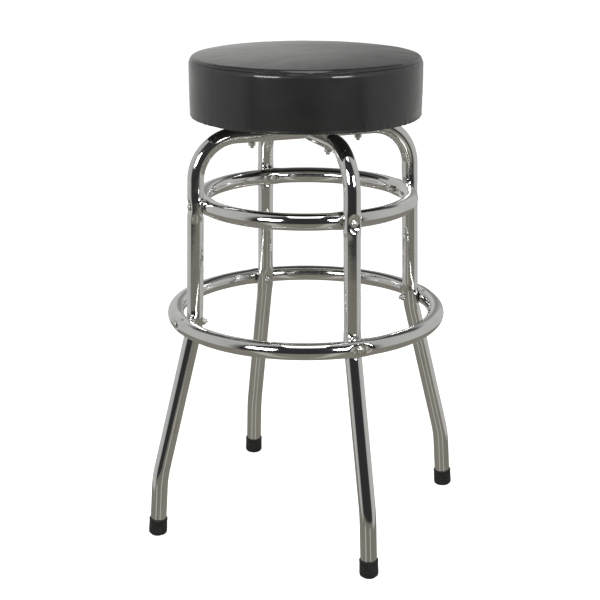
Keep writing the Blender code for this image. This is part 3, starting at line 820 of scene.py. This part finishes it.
def plate_outline(angle):
    """How far a rounded square's edge is from its middle, in a direction."""
    angle = abs((angle + math.pi / 4) % (math.pi / 2) - math.pi / 4)
    straight = PLATE_HALF / math.cos(angle)
    corner = PLATE_HALF - PLATE_CORNER
    if straight * math.sin(angle) <= corner:
        return straight
    along = corner * (math.cos(angle) + math.sin(angle))
    return along + math.sqrt(along * along - 2 * corner * corner + PLATE_CORNER * PLATE_CORNER)


def plate_row(share, inset):
    """A radius between the race's edge and the plate's outline."""
    return lambda angle: RACE_OUTER_RADIUS + (plate_outline(angle) - inset - RACE_OUTER_RADIUS) * share


def race_line(level, up):
    """The pressed middle of a plate: a ball track between two ridges, and a raised seat for the rivet."""
    ridge = level + RIDGE_RISE * up
    track = level + TRACK_RISE * up
    middle = level + RIVET_SEAT_RISE * up
    return [
        (RIVET_RADIUS + RACE_START, middle),
        (25 * MM, middle),
        (28 * MM, level),
        (38.2 * MM, level),
        (40 * MM, ridge),
        (41.8 * MM, ridge),
        (43.2 * MM, track),
        (46.8 * MM, track),
        (48.2 * MM, ridge),
        (50 * MM, ridge),
        (51.5 * MM, level),
        (RACE_OUTER_RADIUS, level),
    ]


def make_swivel_plate(node, base_height, up, turn, hole_radius, material, body):
    level = base_height + PLATE_THICKNESS / 2
    race = sheet_profile(eased(race_line(level, up)), PRESSED_SHEET)
    upper, lower = race[: len(race) // 2], race[len(race) // 2 :]
    edge = []
    for side in (1, -1):
        face = level + side * PLATE_THICKNESS / 2
        rows = [
            (plate_row(0.15, 0), face),
            (plate_row(0.5, 0), face),
            (plate_row(1, PLATE_BREAK), face),
            (plate_row(1, 0), face - side * PLATE_BREAK),
        ]
        edge += rows[::side]
    bm = lathe([*upper, *edge, *lower], PLATE_SIDES, closed=True)
    holes = bmesh.new()
    for quarter in range(4):
        at = at_angle((quarter + 0.5) * math.pi / 2, FIXING_RADIUS, level)
        add_cylinder(holes, hole_radius, at - Z * PLATE_THICKNESS, at + Z * PLATE_THICKNESS)
    mesh = drilled(node, bm, holes)
    mesh.transform(Matrix.Rotation(turn, 4, "Z"))
    add_piece(node + "_steel", mesh, material, body, [node])


def make_rivet(material):
    low = LOWER_PLATE_BASE + RIVET_LIFT
    high = 2 * BALL_PLANE - low
    half = RIVET_FLANGE / 2
    flange = RIVET_FLANGE_RADIUS - half
    roll = RIVET_BORE + RIVET_ROLL
    rows = [
        (RIVET_BORE, low + RIVET_ROLL),
        *arc((roll, low + RIVET_ROLL), RIVET_ROLL, 180, 270, 6),
        *arc((flange, low + half), half, -90, 90, 8),
        (RIVET_RADIUS, low + RIVET_FLANGE),
        (RIVET_RADIUS, high - RIVET_FLANGE),
        *arc((flange, high - half), half, -90, 90, 8),
        *arc((roll, high - RIVET_ROLL), RIVET_ROLL, 90, 180, 6),
    ]
    mesh = mesh_of("swivel_rivet", lathe(rows, 96, closed=True))
    add_piece("swivel_rivet_steel", mesh, material, "base", ["swivel_rivet"])


def make_ball_cage(cage_material, ball_material):
    half = CAGE_THICKNESS / 2
    inner = BALL_TRACK_RADIUS - CAGE_WIDTH / 2
    outer = BALL_TRACK_RADIUS + CAGE_WIDTH / 2
    rows = arc((outer - half, BALL_PLANE), half, -90, 90, 8)
    rows += arc((inner + half, BALL_PLANE), half, 90, 270, 8)
    holes = bmesh.new()
    for i in range(BALL_COUNT):
        at = at_angle(2 * math.pi * (i + 0.5) / BALL_COUNT, BALL_TRACK_RADIUS, BALL_PLANE)
        add_cylinder(holes, CAGE_HOLE_RADIUS, at - Z * CAGE_THICKNESS, at + Z * CAGE_THICKNESS)
        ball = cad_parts[f"bearing_ball_{i + 1:02d}"]
        ball.modifiers.new("Round", "SUBSURF").render_levels = 1
        dress(ball, ball_material)
    mesh = drilled("ball_cage", lathe(rows, 144, closed=True), holes)
    add_piece("ball_cage_nylon", mesh, cage_material, "ball_cage", ["ball_cage"])


def dress(node, material):
    """Gives a node of the frame that stays in view its finish."""
    node.data.materials.clear()
    node.data.materials.append(material)


# Seat


def crown_height(radius):
    return SEAT_HEIGHT - CROWN_RISE * (radius / CROWN_RADIUS) ** 6


def side_rows(sides):
    """The side of the band through three points, as a smooth curve of close rows."""
    (r0, z0), (r1, z1), (r2, z2) = sides
    rows = []
    for i in range(1, BAND_ROWS):
        height = z0 + (z2 - z0) * i / BAND_ROWS
        share0 = (height - z1) * (height - z2) / ((z0 - z1) * (z0 - z2))
        share1 = (height - z0) * (height - z2) / ((z1 - z0) * (z1 - z2))
        share2 = (height - z0) * (height - z1) / ((z2 - z0) * (z2 - z1))
        rows.append((r0 * share0 + r1 * share1 + r2 * share2, height))
    return rows


def cover_rows():
    """(radius, height) of the cover from the edge of its middle grid, over the rim and down to the fold."""
    rim = (CROWN_RADIUS, SEAT_HEIGHT - CROWN_RISE - RIM_ROUND)
    crown = [CORE_RADIUS + (CROWN_RADIUS - CORE_RADIUS) * i / CROWN_ROWS for i in range(1, CROWN_ROWS)]
    shoulder = (SEAT_RADIUS - BAND_TAPER - BAND_ROUND, SEAM_HEIGHT - SHOULDER_DROP)
    lip = (SEAT_BASE_RADIUS - LIP_ROUND, FOLD - LIP_DROP + LIP_ROUND)
    sides = [
        (SEAT_RADIUS - BAND_TAPER, shoulder[1] - 3 * MM),
        (SEAT_RADIUS, (FOLD + SEAM_HEIGHT) / 2),
        (SEAT_BASE_RADIUS, lip[1] + 1 * MM),
    ]
    return [
        *[(r, crown_height(r)) for r in crown],
        *arc(rim, RIM_ROUND, 76, 12, 9),
        *[(SEAM_RADIUS + out * MM, SEAM_HEIGHT + up * MM) for out, up in SEAM_GROOVE],
        *arc(shoulder, BAND_ROUND, 45, 0, 7),
        *side_rows(sides),
        *arc(lip, LIP_ROUND, -8, -90, 6),
        (LIP_INNER_RADIUS + 2 * MM, FOLD - LIP_DROP * 0.6),
        *[(LIP_INNER_RADIUS - TURN_UNDER_STEP * i, FOLD) for i in range(5)],
    ]


def grid_point(u, v):
    """A point of the unit disc for a point of the square from -1 to 1, evenly spaced round the edge."""
    u, v = (math.sqrt(2) * math.sin(math.pi * t / 4) for t in (u, v))
    return u * math.sqrt(max(1 - v * v / 2, 0)), v * math.sqrt(max(1 - u * u / 2, 0))


def cover_mesh():
    """The cover as quads: a square grid opened out into a disc, then rings down to the fold."""
    bm = bmesh.new()
    grid = []
    for j in range(CORE_CELLS + 1):
        row = []
        for i in range(CORE_CELLS + 1):
            x, y = (c * CORE_RADIUS for c in grid_point(2 * i / CORE_CELLS - 1, 2 * j / CORE_CELLS - 1))
            row.append(bm.verts.new((x, y, crown_height(math.hypot(x, y)))))
        grid.append(row)
    for j in range(CORE_CELLS):
        for i in range(CORE_CELLS):
            bm.faces.new((grid[j][i], grid[j][i + 1], grid[j + 1][i + 1], grid[j + 1][i]))
    edge = grid[0][:-1] + [row[-1] for row in grid[:-1]] + grid[-1][:0:-1] + [row[0] for row in grid[:0:-1]]
    angles = [math.atan2(vert.co.y, vert.co.x) for vert in edge]
    for radius, height in cover_rows():
        ring = [bm.verts.new(at_angle(angle, radius, height)) for angle in angles]
        for k in range(len(edge)):
            before = k - 1
            bm.faces.new((edge[before], ring[before], ring[k], edge[k]))
        edge = ring
    bmesh.ops.recalc_face_normals(bm, faces=bm.faces)
    return bm


def seat_noise(point, wavelength, seed):
    return noise.noise(point / wavelength + Vector((seed, 0, 0)))


def near_seam(point, reach):
    """1 at the seam, falling to 0 at reach along the cover."""
    away = math.hypot(point.xy.length - SEAM_RADIUS, point.z - SEAM_HEIGHT)
    return 1 - smooth_step(away / reach)


def hold_weight(point):
    """How firmly the cover is held: fully by its seam and by its fold."""
    if point.z < FOLD + 1 * MM:
        return 1
    return max(near_seam(point, 5 * MM), 0.5 * near_seam(point, 30 * MM))


def stuffed(cover):
    """Blows the cover up from inside by cloth simulation, moving no point further than the cap."""
    start = [vert.co.copy() for vert in cover.data.vertices]
    normals = [vert.normal.copy() for vert in cover.data.vertices]
    even, uneven = COVER_TAKE_IN
    for vert, rest, normal in zip(cover.data.vertices, start, normals):
        slack = 1 - hold_weight(rest)
        vert.co = rest - normal * slack * (even + uneven * seat_noise(rest, 70 * MM, 5))
    held = cover.vertex_groups.new(name="held")
    for vert, rest in zip(cover.data.vertices, start):
        held.add([vert.index], hold_weight(rest), "REPLACE")
    cloth = cover.modifiers.new("Cloth", "CLOTH")
    for setting, value in CLOTH.items():
        setattr(cloth.settings, setting, value)
    cloth.settings.vertex_group_mass = "held"
    cloth.settings.effector_weights.gravity = 0
    scene = bpy.context.scene
    for step in range(1, STUFFING_STEPS + 1):
        scene.frame_set(step)
    settled = cover.evaluated_get(bpy.context.evaluated_depsgraph_get()).data
    moved = [vert.co.copy() for vert in settled.vertices]
    cover.modifiers.remove(cloth)
    cover.vertex_groups.clear()
    scene.frame_set(1)
    for vert, rest, after in zip(cover.data.vertices, start, moved):
        move = after - rest
        vert.co = rest + move / max(1, move.length / COVER_CAP)


def above_fold(point, reach):
    """0 at the fold and below, rising to 1 at reach above it."""
    return smooth_step((point.z - FOLD) / reach)


def puckers(point, around):
    near = near_seam(point, 16 * MM) - near_seam(point, 2 * MM)
    return 0.45 * MM * near * seat_noise(around + Z * point.z * 0.25, 11 * MM, 1)


def pleats(point, around):
    under = (1 - above_fold(point, 13 * MM)) * smooth_step((point.xy.length - 166 * MM) / MM)
    return 0.8 * MM * under * (seat_noise(around, 6 * MM, 2) - 0.3)


def stretch(point):
    return 0.25 * MM * (seat_noise(point, 55 * MM, 3) + 0.5 * seat_noise(point, 24 * MM, 4))


def creases(point, around):
    band = smooth_step((SEAM_HEIGHT - 12 * MM - point.z) / (14 * MM)) * above_fold(point, 12 * MM)
    creased = smooth_step(3 * seat_noise(around + Z * point.z * 0.5, 60 * MM, 6))
    return 0.5 * MM * band * creased * seat_noise(around * 0.22 + Z * point.z, 9 * MM, 7)


def add_cover_detail(mesh):
    """Puckers beside the seam, pleats under the fold, and the creases and unevenness of stretched vinyl."""
    normals = [vert.normal.copy() for vert in mesh.vertices]
    for vert, normal in zip(mesh.vertices, normals):
        point = vert.co.copy()
        around = Vector((point.x, point.y, 0)).normalized() * SEAM_RADIUS
        lift = puckers(point, around) + pleats(point, around) + stretch(point) + creases(point, around)
        vert.co = point + normal * lift * (1 - near_seam(point, 1.6 * MM))


def fit_to_size(mesh):
    """Scales the cover to the seat's height and radius, above the fold."""
    top = max(vert.co.z for vert in mesh.vertices)
    widest = max(vert.co.xy.length for vert in mesh.vertices)
    for vert in mesh.vertices:
        vert.co.x *= SEAT_RADIUS / widest
        vert.co.y *= SEAT_RADIUS / widest
        if vert.co.z > SEAM_HEIGHT:
            share = (SEAT_HEIGHT - SEAM_HEIGHT) / (top - SEAM_HEIGHT)
            vert.co.z = SEAM_HEIGHT + (vert.co.z - SEAM_HEIGHT) * share


def subdivided(piece):
    """The piece's mesh after one round of subdivision."""
    modifier = piece.modifiers.new("Smooth", "SUBSURF")
    modifier.levels = 1
    modifier.render_levels = 1
    bpy.context.view_layer.update()
    mesh = shaped_mesh(piece)
    piece.modifiers.remove(modifier)
    return mesh


def make_seat_cover(material):
    mesh = bpy.data.meshes.new("seat_cover")
    bm = cover_mesh()
    bm.to_mesh(mesh)
    bm.free()
    cover = in_scene("seat_cover_vinyl", mesh)
    stuffed(cover)
    finished = subdivided(cover)
    add_cover_detail(finished)
    fit_to_size(finished)
    cover.data = finished
    finished.name = "seat_cover"
    finished.shade_smooth()
    dress(cover, material)
    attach(cover, "seat")
    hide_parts("vinyl_cover", "foam_pad")


def drawn_radius(angle):
    """How far the lining reaches, drawn in a little between its staples."""
    return DUST_COVER_RADIUS - DRAWN_IN * (1 - math.cos(angle * STAPLES)) / 2


def make_dust_cover(material):
    top = DUST_COVER_BASE + DUST_COVER_THICKNESS
    steps = [DUST_COVER_STEP * i for i in range(8)]
    rows = [(radius, DUST_COVER_BASE) for radius in [*steps, drawn_radius]]
    rows += [(radius, top) for radius in [drawn_radius, *reversed(steps)]]
    mesh = mesh_of("dust_cover", lathe(rows, 8 * STAPLES))
    add_piece("dust_cover_felt", mesh, material, "seat", ["dust_cover"])


def make_staples(material):
    bm = bmesh.new()
    size = Matrix.Diagonal((*STAPLE_SIZE, 1))
    for i in range(STAPLES):
        angle = 2 * math.pi * (i + 0.5) / STAPLES
        at = Matrix.Translation((STAPLE_RADIUS, 0, DUST_COVER_BASE - STAPLE_ROUND))
        slant = Matrix.Rotation(0.25 * math.sin(7 * i), 4, "Z")
        bmesh.ops.create_cube(bm, size=1, matrix=Matrix.Rotation(angle, 4, "Z") @ at @ slant @ size)
    bmesh.ops.bevel(bm, geom=bm.edges[:], offset=STAPLE_ROUND, segments=2, profile=0.5, affect="EDGES")
    add_piece("dust_cover_staples", mesh_of("staples", bm), material, "seat")


def make_seat_screws(material):
    head = PLATE_TOP - PLATE_THICKNESS - GAP
    length = BOARD_BASE + BOARD_THICKNESS - SCREW_COVER - head
    head_size = (SCREW_HEAD_RADIUS, SCREW_HEAD_HEIGHT)
    mesh = bolt_mesh("seat_screw", length, length - SCREW_SHANK, SCREW_RADIUS, *head_size)
    upside_down = Matrix.Rotation(math.pi, 4, "X")
    for quarter in range(4):
        at = at_angle((quarter + 0.5) * math.pi / 2, FIXING_RADIUS, head)
        node = f"seat_screw_{quarter + 1}"
        matrix = Matrix.Translation(at) @ upside_down
        add_piece(node + "_detail", mesh, material, "seat", [node], matrix)


# Camera and studio

CAMERA_DISTANCE = 2.1284
CAMERA_HEIGHT = 1.0254
CAMERA_AZIMUTH = 0.382
CAMERA_PITCH = 0.302
CAMERA_LENS = 83.84
CAMERA_SHIFT = -0.0096
CAMERA_AHEAD = (math.sin(CAMERA_AZIMUTH), math.cos(CAMERA_AZIMUTH), 0)
CAMERA_RIGHT = (math.cos(CAMERA_AZIMUTH), -math.sin(CAMERA_AZIMUTH), 0)
FLOOR_POOLS = (-0.6, 0.42)  # how far to the camera's right the lights fall on the floor


def make_camera():
    data = bpy.data.cameras.new("camera")
    data.lens = CAMERA_LENS
    data.sensor_width = 36
    data.shift_x = CAMERA_SHIFT
    camera = in_scene("camera", data)
    camera.location = Vector(CAMERA_AHEAD) * -CAMERA_DISTANCE + Z * CAMERA_HEIGHT
    camera.rotation_euler = (math.pi / 2 - CAMERA_PITCH, 0, -CAMERA_AZIMUTH)
    bpy.context.scene.camera = camera


def make_floor():
    bm = bmesh.new()
    bmesh.ops.create_circle(bm, cap_ends=True, segments=64, radius=60)
    floor = in_scene("floor", mesh_of("floor", bm))
    finish = Finish("pale_floor", (0.8, 0.8, 0.8), 0.9)
    finish.set("Emission Color", (1, 1, 1, 1))
    finish.set("Emission Strength", 0.9)
    finish.set("Specular IOR Level", 0)
    floor.data.materials.append(finish.material)
    floor.visible_glossy = False
    floor.visible_diffuse = False


def make_softbox(name, azimuth, elevation, distance, size, energy):
    """A rectangular light at an azimuth, in degrees to the right of the camera, aimed at the seat."""
    data = bpy.data.lights.new(name, "AREA")
    data.shape = "RECTANGLE"
    data.size, data.size_y = size
    data.energy = energy
    light = in_scene(name, data)
    turn = -CAMERA_AZIMUTH + math.radians(azimuth)
    rise = math.radians(elevation)
    toward = Vector((math.sin(turn) * math.cos(rise), -math.cos(turn) * math.cos(rise), math.sin(rise)))
    target = Vector((0, 0, 0.6))
    light.location = target + toward * distance
    light.rotation_euler = toward.to_track_quat("Z", "Y").to_euler()
    light.visible_camera = False


def mix_node(tree, share, first, second):
    made = tree.nodes.new("ShaderNodeMix")
    made.data_type = "RGBA"
    tree.links.new(share, made.inputs["Factor"])
    tree.links.new(first, made.inputs["A"])
    if isinstance(second, tuple):
        made.inputs["B"].default_value = (*second, 1)
    else:
        tree.links.new(second, made.inputs["B"])
    return made.outputs["Result"]


def vector_node(tree, operation, vector, other=None):
    made = tree.nodes.new("ShaderNodeVectorMath")
    made.operation = operation
    tree.links.new(vector, made.inputs[0])
    if other:
        made.inputs[1].default_value = other
    return made.outputs["Value" if operation == "DOT_PRODUCT" else "Vector"]


def lit_floor(tree, level, away, height, floor):
    """The floor with the two pools of light that the softboxes throw on it."""
    rightward = vector_node(tree, "DOT_PRODUCT", level, CAMERA_RIGHT)
    pools = []
    for middle in FLOOR_POOLS:
        off = maths_node(tree, "ABSOLUTE", maths_node(tree, "SUBTRACT", rightward, middle))
        pools.append(range_node(tree, off, 0.02, 0.17, 1, 0, True))
    behind = range_node(tree, away, 0.2, 0.3, 1, 0)
    far_off = range_node(tree, height, -0.315, -0.285, 1, 0)
    near = maths_node(tree, "MULTIPLY", behind, far_off)
    share = maths_node(tree, "MULTIPLY", maths_node(tree, "ADD", *pools), near)
    floor = mix_node(tree, range_node(tree, height, -0.46, -0.34, 1, 0), floor, (0.235, 0.225, 0.192))
    return mix_node(tree, share, floor, (0.48, 0.47, 0.43))


def make_studio():
    """A room as polished metal sees it: olive floor, dark front, pale sides, and a backdrop lit low down."""
    world = bpy.data.worlds.new("studio")
    bpy.context.scene.world = world
    world.use_nodes = True
    tree = world.node_tree
    background = tree.nodes["Background"]
    direction = tree.nodes.new("ShaderNodeTexCoord").outputs["Generated"]
    parts = tree.nodes.new("ShaderNodeSeparateXYZ")
    tree.links.new(direction, parts.inputs["Vector"])
    height = parts.outputs["Z"]
    level = vector_node(tree, "NORMALIZE", vector_node(tree, "MULTIPLY", direction, (1, 1, 0)))
    away = range_node(tree, vector_node(tree, "DOT_PRODUCT", level, CAMERA_AHEAD), -1, 1, 0, 1)
    olive = [(0, (0.195, 0.186, 0.155)), (0.5, (0.205, 0.196, 0.163)), (1, (0.22, 0.21, 0.18))]
    floor = lit_floor(tree, level, away, height, ramp_node(tree, away, olive))
    walls = ramp_node(tree, away, [
        (0.2, (0.032, 0.032, 0.034)),
        (0.29, (0.44, 0.44, 0.43)),
        (0.5, (0.5, 0.5, 0.49)),
        (0.85, (0.49, 0.49, 0.48)),
        (1, (0.54, 0.54, 0.53)),
    ])
    above = ramp_node(tree, away, [
        (0.2, (0.035, 0.035, 0.038)),
        (0.29, (0.42, 0.42, 0.42)),
        (0.72, (0.5, 0.5, 0.49)),
        (0.86, (0.07, 0.07, 0.07)),
        (1, (0.05, 0.05, 0.05)),
    ])
    behind = range_node(tree, away, 0.95, 0.99, 0, 1)
    rightward = vector_node(tree, "DOT_PRODUCT", direction, CAMERA_RIGHT)
    shaded = maths_node(tree, "MULTIPLY", behind, range_node(tree, rightward, -0.08, 0.1, 0, 1, True))
    walls = mix_node(tree, shaded, walls, (0.27, 0.27, 0.265))
    lifted = mix_node(tree, range_node(tree, height, 0.5, 0.64, 0, 1, True), walls, above)
    edge = range_node(tree, away, 0.18, 0.3, -0.225, -0.33)
    share = range_node(tree, maths_node(tree, "SUBTRACT", height, edge), -0.022, 0.022, 0, 1, True)
    room = mix_node(tree, share, floor, lifted)
    seen = tree.nodes.new("ShaderNodeLightPath").outputs["Is Camera Ray"]
    tree.links.new(mix_node(tree, seen, room, (1, 1, 1)), background.inputs["Color"])
    bpy.context.scene.view_settings.view_transform = "Standard"


def main():
    chrome = chrome_finish()
    zinc = zinc_finish()
    joints = [ring_joint(UPPER_RING, UPPER_DISH_FADE), ring_joint(LOWER_RING, LOWER_DISH_FADE)]
    make_leg_frame("leg_frame_1", 0, 1, joints, chrome)
    make_leg_frame("leg_frame_2", 1, -1, joints, chrome)
    make_ring("upper_ring", UPPER_RING, joints[0], chrome)
    make_ring("lower_ring", LOWER_RING, joints[1], chrome)
    make_feet(rubber_finish())
    make_ring_fasteners("upper_ring", joints[0], zinc)
    make_ring_fasteners("lower_ring", joints[1], zinc)
    make_swivel_fasteners(zinc)
    lower = ("swivel_lower_plate", LOWER_PLATE_BASE, 1, math.pi / 4, BOLT_HOLE_RADIUS)
    upper = ("swivel_upper_plate", PLATE_TOP - PLATE_THICKNESS, -1, 0, SCREW_HOLE_RADIUS)
    make_swivel_plate(*lower, zinc, "base")
    make_swivel_plate(*upper, zinc, "seat")
    make_rivet(zinc)
    make_ball_cage(nylon_finish(), bearing_finish())
    make_seat_screws(zinc)
    make_dust_cover(felt_finish())
    make_staples(zinc)
    dress(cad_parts["seat_board"], plywood_finish())
    make_seat_cover(vinyl_finish())
    make_camera()
    make_floor()
    make_softbox("softbox_left", -36, 20, 2.6, (1.0, 0.9), 32)
    make_softbox("softbox_right", 34, 20, 2.6, (0.9, 0.9), 30)
    make_softbox("softbox_above", 0, 77, 2.2, (0.9, 1.2), 9)
    make_studio()


main()
